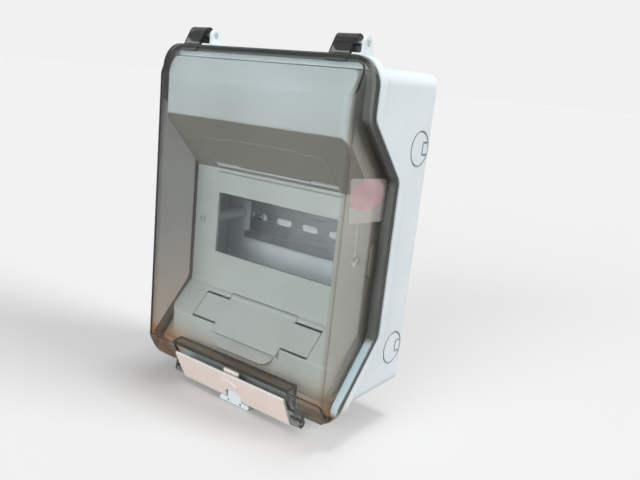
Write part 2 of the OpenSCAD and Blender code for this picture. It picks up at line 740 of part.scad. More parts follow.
// Space behind the rim, which the cover leaves free
module behind_rim() {
  side_view(far) polygon(rounded(concat(lip_line(rim_back), [[far, flange_z[0] - cut], [far, flange_z[1] + cut]]),
    concat(lip_radii, [0, 0])));
}

module hinge_pin(side) {
  start = hinge_x(side) - strap_w / 2 - pin_stub;
  end = hinge_x(side) + strap_w / 2 + ear_gap + ear_t;
  color("#cfd6da") place() translate([start, hinge_axis[0], hinge_axis[1]]) rotate([0, 90, 0])
    cylinder(d = hinge_pin_d, h = end - start);
}

module hinge_pin_left() { hinge_pin(-1); }

module hinge_pin_right() { hinge_pin(1); }

/* Inner panel and flaps */

// Local frame on a slope: X stays, Y runs up the slope and Z points out of it
module on_slope(fold, angle) {
  translate([0, fold[0], fold[1]]) rotate([angle, 0, 0]) children();
}

// Flap outline on a slope: s runs from the fold, dir is the sense of s along local Y
module flap_outline(s_far, step, grow, dir) {
  x = flap_w / 2 + grow;
  mid = flap_mid_w / 2 + grow;
  near = flap_axis_s + flap_bar_r + flap_slot - grow;
  hinge_s = flap_axis_s - flap_bar_r - grow;
  mirror([0, dir < 0 ? 1 : 0]) polygon([[-x, near], [-mid, near], [-mid, hinge_s], [mid, hinge_s],
    [mid, near], [x, near], [x, s_far + grow], [mid, s_far + grow], [mid, s_far + step + grow],
    [-mid, s_far + step + grow], [-mid, s_far + grow], [-x, s_far + grow]]);
}

// Opening for a flap, cut through the panel, with the slots at its hinge bars
module flap_opening(s_far, step, dir) {
  translate([0, 0, -2 * panel_t]) linear_extrude(3 * panel_t) {
    flap_outline(s_far, step, flap_gap, dir);
    mirror([0, dir < 0 ? 1 : 0]) translate([-flap_w / 2 - flap_gap, flap_axis_s + flap_bar_r])
      square([flap_w + 2 * flap_gap, flap_slot]);
  }
}

// Slots through the panel and the frame below the lower flap's corners
module corner_slots() {
  x = flap_mid_w / 2 + flap_gap;
  for (side = [-1, 1]) translate([0, 0, -2 * panel_t]) linear_extrude(3 * panel_t)
    translate([side > 0 ? x : -flap_w / 2 - flap_gap, -low_flap_s - corner_slot])
      square([flap_w / 2 + flap_gap - x, corner_slot]);
}

// Frame behind a flap that it closes onto
module flap_frame(s_far, dir) {
  x = flap_w / 2 + flap_gap;
  near = flap_axis_s + flap_bar_r + flap_slot + 1;
  far_s = s_far + flap_gap;
  mirror([0, dir < 0 ? 1 : 0, 0]) translate([0, 0, -flap_t - held_gap - flap_frame_t]) {
    linear_extrude(flap_frame_t) difference() {
      translate([-x - 1, near]) square([2 * x + 2, far_s - near + 1]);
      translate([-x + flap_seat, near - cut]) square([2 * (x - flap_seat), far_s - near - flap_seat + cut]);
    }
    for (side = [-1, 1]) translate([side > 0 ? x : -x - 1, near, 0])
      cube([1, far_s - near + 1, flap_frame_t + held_gap + flap_t - 0.5]);
  }
}

// Hinge bars beside a flap's middle, bored for its pivots
module hinge_bars(dir) {
  l = (flap_w - flap_mid_w) / 2 - flap_gap;
  for (side = [-1, 1]) translate([side * (flap_mid_w / 2 + flap_gap), dir * flap_axis_s, -flap_axis_in])
    rotate([0, side * 90, 0]) cylinder(r = flap_bar_r, h = l);
}

module pivot_bores(dir) {
  translate([0, dir * flap_axis_s, -flap_axis_in]) rotate([0, 90, 0])
    cylinder(r = flap_pivot_d / 2 + run_gap, h = flap_mid_w + 2 * (flap_gap + flap_pivot_l + 0.5), center = true);
}

// Solid behind the panel's front; step is the thickness left in front of it
module panel_block(step, x, z, r) {
  intersection() {
    side_view(far) polygon(concat(rounded(panel_line(step), panel_radii),
      [[0, panel_z[0]], [0, panel_z[1]]]));
    front_view(0, far) plate_outline(x, z, r);
  }
}

// Front of the panel with its upright edges rounded on the top and bottom steps
module panel_rounding() {
  mid_z = (high_fold[1] + low_fold[1]) / 2;
  intersection() {
    round_fronted(panel_x, panel_high_d, panel_corner_r);
    translate([0, 0, mid_z + far / 2]) cube([far, far, far], center = true);
  }
  intersection() {
    round_fronted(panel_x, panel_low_d, panel_corner_r);
    translate([0, 0, mid_z - far / 2]) cube([far, far, far], center = true);
  }
}

// Ledge below the lower flap that gives a fingertip room
module finger_ledge() {
  reach = norm(low_edge - low_fold);
  on_slope(low_fold, low_angle) translate([0, 0, -ledge_drop - ledge_t]) linear_extrude(ledge_t)
    difference() {
      plate_outline(ledge_w / 2, [-reach - ledge_out - 2, -reach + 2 * ledge_r], ledge_r);
      translate([-ledge_w, -reach + 1]) square([2 * ledge_w, far]);
    }
}

module inner_panel() {
  color("#bcc8c4") place() difference() {
    union() {
      difference() {
        panel_shell();
        on_slope(high_fold, high_angle) flap_opening(high_flap_s, high_flap_step, 1);
        on_slope(low_fold, low_angle) flap_opening(low_flap_s, low_flap_step, -1);
      }
      on_slope(high_fold, high_angle) flap_frame(high_flap_s, 1);
      on_slope(low_fold, low_angle) flap_frame(low_flap_s, -1);
      on_slope(high_fold, high_angle) hinge_bars(1);
      on_slope(low_fold, low_angle) hinge_bars(-1);
      panel_flange();
      finger_ledge();
      side_pads();
    }
    on_slope(low_fold, low_angle) corner_slots();
    on_slope(high_fold, high_angle) pivot_bores(1);
    on_slope(low_fold, low_angle) pivot_bores(-1);
    front_view(0, far) translate([-window_w / 2, window_z - window_h / 2]) square([window_w, window_h]);
    for (side = [-1, 1]) translate([side * panel_screw_x, 0, window_z]) rotate([90, 0, 0])
      cylinder(d = panel_screw_d + 0.4, h = far);
    front_view(panel_mid_d - groove_size, far)
      translate([-groove_w / 2, high_fold[1] - groove_down]) square([groove_w, groove_size]);
  }
}

// Shell of the panel, whose side walls run back to just behind the box's lip
module panel_shell() {
  difference() {
    intersection() {
      panel_block(0, panel_x, panel_z, panel_corner_r);
      panel_rounding();
      lip_band(-panel_lip_gap - panel_t, far / 4);
    }
    panel_block(panel_t, panel_x - panel_t, [panel_z[0] + panel_t, panel_z[1] - panel_t],
      panel_corner_r - panel_t);
  }
}

// Flange that stands out from the panel's side walls behind the box's lip
module panel_flange() {
  r = box_corner_r - box_wall - panel_end_gap;
  intersection() {
    lip_band(-panel_lip_gap - panel_t, -panel_lip_gap);
    panel_block(0, box_x - box_wall - panel_end_gap, panel_z, r);
    difference() {
      front_view(0, far) plate_outline(box_x - box_wall - panel_end_gap, panel_z, r);
      front_view(-cut, far + cut) plate_outline(panel_x - panel_t,
        [panel_z[0] + panel_t, panel_z[1] - panel_t], panel_corner_r - panel_t);
    }
  }
}

// Thickened pads on the panel's side walls at the height of its screws
module side_pads() {
  pad_h = 22;
  pad_t = 1.6;
  pad_y = [-panel_mid_d + 2, -lip_mid_d + panel_lip_gap + panel_t / 2];
  for (side = [-1, 1]) side_view(pad_t + 0.5, side * (panel_x + pad_t / 2 - 0.25))
    polygon(rounded([[pad_y[0], window_z - pad_h / 2], [pad_y[0], window_z + pad_h / 2],
      [pad_y[1], window_z + pad_h / 2], [pad_y[1], window_z - pad_h / 2]], [3, 3, 0, 0]));
}

module flap(fold, angle, s_far, step, dir) {
  color("#b4c1bd") place() on_slope(fold, angle) {
    translate([0, 0, -flap_t]) linear_extrude(flap_t) flap_outline(s_far, step, 0, dir);
    translate([0, dir * flap_axis_s, -flap_axis_in]) rotate([0, 90, 0]) {
      cylinder(r = flap_bar_r, h = flap_mid_w, center = true);
      cylinder(d = flap_pivot_d, h = flap_mid_w + 2 * (flap_gap + flap_pivot_l), center = true);
    }
  }
}

module upper_flap() { flap(high_fold, high_angle, high_flap_s, high_flap_step, 1); }

module lower_flap() { flap(low_fold, low_angle, low_flap_s, low_flap_step, -1); }

module panel_screws() {
  color("#c2ccc9") place() for (side = [-1, 1])
    screw(side * panel_screw_x, window_z, panel_mid_d, panel_screw_d, panel_t + insert_h,
      panel_screw_head_d, panel_screw_head_h);
}

module post_inserts() {
  color("#c9a24a") place() for (side = [-1, 1])
    translate([side * panel_screw_x, -(panel_mid_d - panel_t), window_z]) rotate([-90, 0, 0]) difference() {
      cylinder(d = insert_d, h = insert_h);
      translate([0, 0, -cut]) cylinder(r = panel_screw_d / 2 + held_gap, h = insert_h + 2 * cut);
    }
}

/* Device rail */

module device_rail() {
  w = rail_w / 2;
  hat = rail_hat_w / 2;
  color("#c3c7ca") place() translate([0, 0, window_z]) difference() {
    side_view(rail_l) polygon([[-rail_front, w], [-rail_front, hat - rail_t], [-back_t - rail_t, hat - rail_t],
      [-back_t - rail_t, -hat + rail_t], [-rail_front, -hat + rail_t], [-rail_front, -w],
      [-rail_front + rail_t, -w], [-rail_front + rail_t, -hat], [-back_t, -hat], [-back_t, hat],
      [-rail_front + rail_t, hat], [-rail_front + rail_t, w]]);
    for (i = [-2 : 2]) translate([i * rail_slot_pitch, cut, 0]) rotate([90, 0, 0]) {
      for (end = [-1, 1]) translate([end * (rail_slot_l - rail_slot_w) / 2, 0, 0])
        cylinder(d = rail_slot_w, h = back_t + rail_h);
      translate([-(rail_slot_l - rail_slot_w) / 2, -rail_slot_w / 2, 0])
        cube([rail_slot_l - rail_slot_w, rail_slot_w, back_t + rail_h]);
    }
  }
}

module rail_screws() {
  color("#b9bec2") place() for (side = [-1, 1])
    screw(side * rail_screw_x, window_z, back_t + rail_t, rail_screw_d, rail_t + pilot_depth - 0.2, rail_head_d, 2.4);
}

/* Terminal bars */

holder_screw_x = bar_l / 2 + tower_l / 2 + foot_l / 2;

module bar_holder(z) {
  tower = bar_at - bar_t - back_t;
  color("#4f7fb5") place() translate([0, 0, z]) difference() {
    union() {
      for (side = [-1, 1]) {
        translate([side * bar_l / 2 - tower_l / 2, -back_t - tower - bar_t + 1.5, -bar_w / 2 - 1.5])
          cube([tower_l, tower + bar_t - 1.5, bar_w + 3]);
        translate([side * holder_screw_x - foot_l / 2 - (side > 0 ? 1 : 0), -back_t - holder_t, -bar_w / 2 - 1.5])
          cube([foot_l + 1, holder_t, bar_w + 3]);
      }
      translate([-bar_l / 2, -back_t - holder_t, -bar_w / 2 + 0.5]) cube([bar_l, holder_t, bar_w - 1]);
    }
    translate([-bar_l / 2 - held_gap, -bar_at - cut, -bar_w / 2 - held_gap])
      cube([bar_l + 2 * held_gap, bar_t + cut, bar_w + 2 * held_gap]);
    for (side = [-1, 1]) translate([side * holder_screw_x, 0, 0]) rotate([90, 0, 0])
      cylinder(r = holder_screw_d / 2 + held_gap, h = far);
  }
}

module terminal_bar(z) {
  color("#d2ae5a") place() translate([0, 0, z]) difference() {
    translate([-bar_l / 2, -bar_at, -bar_w / 2]) cube([bar_l, bar_t, bar_w]);
    for (i = [0 : bar_ways - 1]) translate([(i - (bar_ways - 1) / 2) * bar_pitch, -bar_at + bar_t / 2, 0]) {
      cylinder(d = wire_d, h = bar_w + 2 * cut, center = true);
      rotate([90, 0, 0]) cylinder(r = clamp_screw_d / 2 + held_gap, h = bar_t);
    }
  }
}

module terminal_screws(z) {
  color("#c8c3b0") place() for (i = [0 : bar_ways - 1])
    screw((i - (bar_ways - 1) / 2) * bar_pitch, z, bar_at + clamp_up, clamp_screw_d, clamp_shank_l,
      clamp_screw_d + clamp_head_over, clamp_head_h);
}

module holder_screws(z) {
  color("#b9bec2") place() for (side = [-1, 1])
    screw(side * holder_screw_x, z, back_t + holder_t, holder_screw_d, holder_t + pilot_depth - 0.2, holder_screw_d + 3, 2);
}

module upper_bar_holder() { bar_holder(low_bar_z + bar_rise); }

module upper_terminal_bar() { terminal_bar(low_bar_z + bar_rise); }

module upper_terminal_screws() { terminal_screws(low_bar_z + bar_rise); }

module upper_holder_screws() { holder_screws(low_bar_z + bar_rise); }

module lower_bar_holder() { bar_holder(low_bar_z); }

module lower_terminal_bar() { terminal_bar(low_bar_z); }

module lower_terminal_screws() { terminal_screws(low_bar_z); }

module lower_holder_screws() { holder_screws(low_bar_z); }

/* Latch */

// Local frame on the latch plate: the origin is at its lower edge, Y runs up it, Z points out of it
module on_latch() {
  translate([0, latch_foot[0], latch_foot[1]]) rotate([90 + latch_lean, 0, 0]) children();
}

module latch_plate() {
  notch_x = lug_neck_w / 2 + lug_gap + 0.3;
  notch_up = 8.6;
  hook_x = notch_x + 1 + hook_w / 2;
  tab_foot = latch_top - tab_down * up_latch;
  tab_z = latch_top_z + tab_up;
  color("#ece4df") place() difference() {
    union() {
      on_latch() translate([0, 0, -latch_t]) linear_extrude(latch_t) difference() {
        translate([-latch_w / 2, 0]) square([latch_w, latch_l]);
        translate([0, -cut]) plate_outline(notch_x, [0, notch_up + cut], notch_x * 0.6);
        translate([-notch_x, -cut]) square([2 * notch_x, notch_up / 2]);
      }
      on_latch() translate([0, latch_l * 0.6, -0.2]) scale([2, 1, 1]) cylinder(d = thumb_d, h = 0.6);
      for (side = [-1, 1]) translate([side * (latch_w / 2 - barrel_l / 2), latch_axis[0], latch_axis[1]])
        rotate([0, 90, 0]) cylinder(r = barrel_r, h = barrel_l, center = true);
      side_view(tab_w) polygon([tab_foot + [1, 0], [tab_foot[0] + 1.2, tab_z],
        [tab_foot[0] + 2.6, tab_z], [tab_foot[0] + 2.6, tab_foot[1]], [tab_foot[0] + 1.8, tab_foot[1] - 1.2]]);
      for (side = [-1, 1]) side_view(hook_w, side * hook_x) polygon([
        latch_foot + 3 * up_latch + [1, 0], latch_foot + (3 + hook_root) * up_latch + [1, 0],
        [lug_front + lug_t + 2.4, latch_axis[1] + 1.6], [lug_front + lug_t + 2.4, lug_top_z + 0.3],
        [lug_front + lug_t + 0.4, lug_top_z + 0.3], [lug_front + lug_t + 0.4, latch_axis[1] - 1]]);
    }
    for (side = [-1, 1]) translate([side * (latch_w / 2 - barrel_l / 2), latch_axis[0], latch_axis[1]])
      rotate([0, 90, 0]) cylinder(r = latch_pin_d / 2 + run_gap, h = barrel_l + 2 * cut, center = true);
  }
}

module latch_pin(side) {
  inner = latch_w / 2 - barrel_l + 0.5;
  color("#b9bec2") place() translate([side * inner, latch_axis[0], latch_axis[1]]) rotate([0, side * 90, 0])
    cylinder(d = latch_pin_d, h = knuckle_x + knuckle_l - 1.2 - inner);
}

module latch_pin_left() { latch_pin(-1); }

module latch_pin_right() { latch_pin(1); }

back_box();
seal();
cover();
hinge_pin_left();
hinge_pin_right();
inner_panel();
upper_flap();
lower_flap();
panel_screws();
post_inserts();
device_rail();
rail_screws();
upper_bar_holder();
upper_terminal_bar();
upper_terminal_screws();
upper_holder_screws();
lower_bar_holder();
lower_terminal_bar();
lower_terminal_screws();
lower_holder_screws();
latch_plate();
latch_pin_left();
latch_pin_right();
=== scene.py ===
import math

import bmesh
import bpy
from mathutils import Euler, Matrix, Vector


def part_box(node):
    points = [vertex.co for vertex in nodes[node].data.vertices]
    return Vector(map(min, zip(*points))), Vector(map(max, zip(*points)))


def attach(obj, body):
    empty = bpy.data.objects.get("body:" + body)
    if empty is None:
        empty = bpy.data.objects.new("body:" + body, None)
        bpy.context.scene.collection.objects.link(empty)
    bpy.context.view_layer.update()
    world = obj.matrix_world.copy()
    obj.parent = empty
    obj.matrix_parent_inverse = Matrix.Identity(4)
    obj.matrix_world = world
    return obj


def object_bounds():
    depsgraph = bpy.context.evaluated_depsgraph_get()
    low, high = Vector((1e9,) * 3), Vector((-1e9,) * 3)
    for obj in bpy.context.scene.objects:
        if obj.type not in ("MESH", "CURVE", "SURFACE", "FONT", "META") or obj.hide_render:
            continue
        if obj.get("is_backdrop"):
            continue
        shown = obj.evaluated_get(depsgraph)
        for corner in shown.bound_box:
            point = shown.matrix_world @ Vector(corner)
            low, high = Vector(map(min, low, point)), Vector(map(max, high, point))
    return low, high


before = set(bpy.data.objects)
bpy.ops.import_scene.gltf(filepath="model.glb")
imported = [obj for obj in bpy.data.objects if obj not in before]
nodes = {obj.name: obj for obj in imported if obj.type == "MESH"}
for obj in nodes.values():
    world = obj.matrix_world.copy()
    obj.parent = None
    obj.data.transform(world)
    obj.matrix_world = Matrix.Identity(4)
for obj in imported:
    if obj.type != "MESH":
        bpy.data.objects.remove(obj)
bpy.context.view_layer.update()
scene = bpy.context.scene
MM = 0.001


# ---------------------------------------------------------------- camera
EYE = (0.2907, -0.4189, 0.0986)
TURN_DEGREES = (75.262, -5.073, 38.799)
FOCAL_LENGTH = 38.04
SHIFT_X, SHIFT_Y = 0.0633, 0.0224
NEAREST = 10 * MM

camera = bpy.data.objects.new("camera", bpy.data.cameras.new("camera"))
scene.collection.objects.link(camera)
camera.location = EYE
camera.rotation_euler = Euler([math.radians(a) for a in TURN_DEGREES])
camera.data.lens = FOCAL_LENGTH
camera.data.shift_x = SHIFT_X
camera.data.shift_y = SHIFT_Y
camera.data.clip_start = NEAREST
scene.camera = camera


# ---------------------------------------------------------------- node helpers
# a Mix node names its colour sockets like its number sockets, so they go by their order
MIX_A, MIX_B, MIX_RESULT = 6, 7, 2


def rgb(hex_colour):
    """Linear colour of an sRGB colour that is written as six hex digits."""
    out = []
    for i in (0, 2, 4):
        c = int(hex_colour[i:i + 2], 16) / 255
        out.append(c / 12.92 if c <= 0.04045 else ((c + 0.055) / 1.055) ** 2.4)
    return (*out, 1.0)


def grey(v):
    return (v, v, v, 1.0)


def off(edge, distances):
    """Places at these distances from an edge."""
    return [edge + d for d in distances]


class Tree:
    """The node tree of a material or a world, emptied, with short ways to fill it."""

    def __init__(self, owner):
        owner.use_nodes = True
        self.nodes = owner.node_tree.nodes
        self.links = owner.node_tree.links
        self.nodes.clear()

    def add(self, kind, sockets=None, **settings):
        """A new node. Each socket named gets a plain value, or a link where the value is a socket itself."""
        n = self.nodes.new(kind)
        for key, v in settings.items():
            setattr(n, key, v)
        for key, v in (sockets or {}).items():
            if isinstance(v, bpy.types.NodeSocket):
                self.links.new(v, n.inputs[key])
            else:
                n.inputs[key].default_value = v
        return n

    def split(self, what):
        """X, Y and Z of "Object", the place on the piece, or of "Normal", the way that its face looks."""
        coord = self.add("ShaderNodeTexCoord")
        return self.add("ShaderNodeSeparateXYZ", {"Vector": coord.outputs[what]}).outputs

    def noise(self, scale, detail, stretch=None):
        """Noise that is fixed to the piece."""
        place = self.add("ShaderNodeTexCoord").outputs["Object"]
        if stretch:
            place = self.add("ShaderNodeMapping", {"Scale": stretch, "Vector": place}).outputs["Vector"]
        n = self.add("ShaderNodeTexNoise", {"Scale": scale, "Detail": detail, "Vector": place})
        return n.outputs["Fac"]

    def ramp(self, source, span, a, b):
        """Colour a up to the start of span, and colour b from its end on."""
        n = self.add("ShaderNodeValToRGB", {"Fac": source})
        for element, place, colour in zip(n.color_ramp.elements, span, (a, b)):
            element.position = place
            element.color = colour
        return n.outputs["Color"]

    def math(self, operation, *values):
        return self.add("ShaderNodeMath", dict(enumerate(values)), operation=operation).outputs[0]

    def product(self, first, *others):
        for other in others:
            first = self.math("MULTIPLY", first, other)
        return first

    def step(self, value, start, full):
        """0 at start and before it, 1 at full and past it. Full may be the smaller of the two."""
        n = self.add("ShaderNodeMapRange", {
            "Value": value,
            "From Min": min(start, full),
            "From Max": max(start, full),
            "To Min": float(start > full),
            "To Max": float(start <= full),
        }, interpolation_type="SMOOTHSTEP")
        return n.outputs["Result"]

    def between(self, value, start, full, fade, gone):
        """1 from full to fade, and 0 before start and past gone."""
        return self.product(self.step(value, start, full), self.step(value, gone, fade))

    def blend(self, mask, a, b, way="MIX"):
        """Colour a where mask is 0, and colour b, or what way makes of the two, where it is 1."""
        n = self.add("ShaderNodeMix", {"Factor": mask, MIX_A: a, MIX_B: b}, data_type="RGBA", blend_type=way)
        return n.outputs[MIX_RESULT]


# ---------------------------------------------------------------- plastics and metals
# scale and detail of each mottling
CLOUD = (22.0, 4.0)
SMEAR = (60.0, 5.0)
BRUSHED = (60.0, 5.0)
SWIRL = (14.0, 2.0)
HAZE = (55.0, 6.0)
FILM_CLOUD = (90.0, 4.0)
FILM_CREASES = (160.0, 5.0)
PIT_DETAIL = 2.0

# values of a mottling between which its two colours blend
MOST = (0.3, 0.7)
MIDDLE = (0.35, 0.65)
UPPER = (0.45, 0.8)

PLASTIC_IOR = 1.52
PIT_STRENGTH = 0.5
BRUSH_STRETCH = (1.0, 30.0, 30.0)

# painted shade in the creases of a moulding, darker the more closed in a place is
PAINTED_CREASE_SHADE = 0.58  # share of the colour that is left deep in a crease
CREASE_REACH = 2.2 * MM  # how near other faces of the same piece have to be to make a crease
CREASE_SPAN = (0.35, 0.80)  # openness at which a crease is full, and at which it ends
CREASE_SAMPLES = 6
EDGE_SAMPLES = 4


def plastic(name, low, high, rough=(0.34, 0.46), grain=1800.0, bump=0.03 * MM, sheen=0.0, edge=0.0,
            painted_light_and_shade=None):
    """Moulded plastic: faint cloudy colour, fine mould texture and uneven gloss. With edge, its edges are
    shaded as if rounded by that radius, and its creases get painted shade. A function given last paints
    further light or shade onto the colour."""
    m = bpy.data.materials.new(name)
    t = Tree(m)
    body = t.ramp(t.noise(*CLOUD), MIDDLE, rgb(low), rgb(high))
    pits = {"Strength": PIT_STRENGTH, "Distance": bump, "Height": t.noise(grain, PIT_DETAIL)}
    if edge:
        near = t.add("ShaderNodeAmbientOcclusion", {"Distance": CREASE_REACH}, samples=CREASE_SAMPLES,
                     only_local=True)
        shade = t.ramp(near.outputs["AO"], CREASE_SPAN, grey(PAINTED_CREASE_SHADE), grey(1.0))
        # painted shade: the colour darkens in creases
        body = t.blend(1.0, body, shade, "MULTIPLY")
        rounded_edge = t.add("ShaderNodeBevel", {"Radius": edge}, samples=EDGE_SAMPLES)
        pits["Normal"] = rounded_edge.outputs["Normal"]
    # painted light and shade by place or by the way a face looks
    if painted_light_and_shade:
        body = painted_light_and_shade(t, body)
    p = t.add("ShaderNodeBsdfPrincipled", {
        "Base Color": body,
        "Roughness": t.ramp(t.noise(*SMEAR), MOST, grey(rough[0]), grey(rough[1])),
        "IOR": PLASTIC_IOR,
        "Sheen Weight": sheen,
        "Normal": t.add("ShaderNodeBump", pits).outputs["Normal"],
    })
    t.add("ShaderNodeOutputMaterial", {"Surface": p.outputs["BSDF"]})
    return m


# each is where a change of colour, painted light or shade, starts and where it is full
SEAL_PAINTED_SHADE = (-0.6 * MM, -0.2 * MM)  # from the seal's outer side
PANEL_PAINTED_LIGHT = (60 * MM, 90 * MM)  # height above the frame's origin
PANEL_PAINTED_SHADE = (-0.25, -0.6)  # upward part of a face's normal
LATCH_FRONT = (-0.72, -0.86)  # part of a face's normal towards the wall


def seal_painted_seam_shade(t, body):
    """Painted shade: the seal's outer edge is painted near black, for the shade in the seam beside it."""
    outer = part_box("seal")[1].x
    side = t.math("ABSOLUTE", t.split("Object")["X"])
    return t.blend(t.step(side, *off(outer, SEAL_PAINTED_SHADE)), body, rgb("1E2220"))


def panel_painted_light_and_shade(t, body):
    """Painted light and shade: the panel's top is painted paler and bluer, as if lit from above, and its
    faces that look down are painted darker and warmer, as if in shade.
    """
    top = t.step(t.split("Object")["Z"], *PANEL_PAINTED_LIGHT)
    under = t.step(t.split("Normal")["Z"], *PANEL_PAINTED_SHADE)
    return t.blend(under, t.blend(top, body, rgb("C3CED1")), rgb("8F8C84"))


def latch_painted_light(t, body):
    """Painted light: the latch plate's faces other than its front, such as its top and side edges, are
    painted whiter and brighter, as where light falls on them; its faint pink stays on its front only.
    """
    front = t.step(t.split("Normal")["Y"], *LATCH_FRONT)
    return t.blend(front, rgb("F8FAFB"), body)


def metal(name, low, high, rough=(0.22, 0.38)):
    """Bare metal with fine streaks."""
    m = bpy.data.materials.new(name)
    t = Tree(m)
    streaks = t.noise(*BRUSHED, BRUSH_STRETCH)
    p = t.add("ShaderNodeBsdfPrincipled", {
        "Base Color": t.ramp(streaks, MOST, rgb(low), rgb(high)),
        "Roughness": t.ramp(streaks, MOST, grey(rough[0]), grey(rough[1])),
        "Metallic": 1.0,
    })
    t.add("ShaderNodeOutputMaterial", {"Surface": p.outputs["BSDF"]})
    return m


# ---------------------------------------------------------------- clear plastic of the cover
RIM_LEDGE = 6.5 * MM  # how far the rim stands out past a side wall
WALL_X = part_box("cover")[1].x - RIM_LEDGE  # outer side of the right side wall

COVER_IOR = 1.45
COVER_ROUGH = (0.015, 0.07)
PAINTED_HIGHLIGHT_SHUT = 0.75  # share of the light that the painted highlight band holds back, so that its pale colour shows

# the tint that light takes on at each face of the cover that it passes; some of these tints paint shade, a
# highlight or the warm surroundings, as said beside them
CLEAR_TINTS = {
    "plain_dark": "F2F4F3",
    "plain_light": "FBFCFC",
    # painted shade on the left side wall, darker towards the top, for its darker look where it is seen at a
    # slant
    "left_wall_foot_painted_shade": "BEBFBC",
    "left_wall_top_painted_shade": "A9ABA8",
    # painted tint of the warm surroundings seen through the lower left wall and the foot
    "left_wall_painted_surroundings": "F0DDCB",
    # painted shade on the right side wall, warm and darker
    "right_wall_painted_shade": "E6DED6",
    "painted_warm_foot_left": "EDB881",
    "painted_warm_foot_right": "D8BD9F",
    "straps": "A3A9A7",
    # faint painted shade in the latch pocket
    "pocket": "EEF0ED",
    # dark rim edges: partly their long path through the plastic, partly painted shade
    "rim": "262C2A",
    # painted highlight: pale light-blue band on the lower part of the rim's right ledge
    "painted_highlight": "CBE0EC",
}

# each is where a tint starts and where it is full; those with four values then say where it fades and ends
# heights above the frame's origin
WALL_RISE = (0.0, 90 * MM)
WARM_FALL = (0.0, -105 * MM)
FOOT_FALL = (-88 * MM, -103 * MM)
PAINTED_HIGHLIGHT_HEIGHTS = (-112 * MM, -106 * MM, -69 * MM, -64 * MM)
# across, from the middle
FOOT_ACROSS = (0.0, 80 * MM)
# from the outer side of a side wall
LEFT_WALL = (8 * MM, 4 * MM)
RIGHT_WALL = (-4 * MM, -1 * MM)
# from the outer side of the rim
RIM_SIDE = (-2.0 * MM, -1.2 * MM)
RIGHT_WALL_END = (-6.2 * MM, -5.2 * MM)
PAINTED_HIGHLIGHT_BAND = (-6.3 * MM, -5.6 * MM, -1.2 * MM, -0.4 * MM)
# from the underside of the hinge pins
RIM_TOP = (-9 * MM, -7 * MM)
STRAPS = (-10 * MM, -8 * MM)
# from the top and from the sides of the latch plate
POCKET_TOP = (7.4 * MM, 6.4 * MM)
POCKET_SIDES = (11 * MM, 9 * MM)
# part of a face's normal along an axis
ALONG = (0.55, 0.8)
FORWARD = (-0.3, -0.6)


def cover_masks(t):
    """Masks for the places on the cover, by name, from its own coordinates and the pieces beside them."""
    at = t.split("Object")
    facing = t.split("Normal")
    side = t.math("ABSOLUTE", at["X"])
    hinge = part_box("hinge_pin_left")[0].z
    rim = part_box("cover")[1].x
    latch_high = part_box("latch_plate")[1]
    rim_side = t.product(
        t.step(side, *off(rim, RIM_SIDE)),
        t.step(t.math("ABSOLUTE", facing["X"]), *ALONG),
    )
    rim_top = t.product(
        t.step(at["Z"], *off(hinge, RIM_TOP)),
        t.step(t.math("ABSOLUTE", facing["Z"]), *ALONG),
    )
    # painted shade on the left side wall
    left_wall_painted_shade = t.step(at["X"], *off(-WALL_X, LEFT_WALL))
    return {
        "left_wall_painted_shade": left_wall_painted_shade,
        "left_wall_top_painted_shade": t.step(at["Z"], *WALL_RISE),
        # painted warm surroundings on the lower left wall
        "left_wall_painted_surroundings": t.product(left_wall_painted_shade, t.step(at["Z"], *WARM_FALL)),
        # painted shade on the right side wall
        "right_wall_painted_shade": t.between(at["X"], *off(WALL_X, RIGHT_WALL), *off(rim, RIGHT_WALL_END)),
        # painted warm surroundings on the foot
        "foot": t.step(at["Z"], *FOOT_FALL),
        "painted_warm_foot_right": t.step(at["X"], *FOOT_ACROSS),
        "straps": t.step(at["Z"], *off(hinge, STRAPS)),
        # painted shade in the latch pocket
        "pocket": t.product(
            t.step(at["Z"], *off(latch_high.z, POCKET_TOP)),
            t.step(side, *off(latch_high.x, POCKET_SIDES)),
        ),
        # dark tint on the rim's edge faces, partly for their long path through the plastic, partly painted
        # shade
        "rim": t.math("MAXIMUM", rim_side, rim_top),
        # painted highlight on the lower part of the rim's right ledge
        "painted_highlight": t.product(
            t.between(at["X"], *off(rim, PAINTED_HIGHLIGHT_BAND)),
            t.between(at["Z"], *PAINTED_HIGHLIGHT_HEIGHTS),
            t.step(facing["Y"], *FORWARD),
        ),
    }


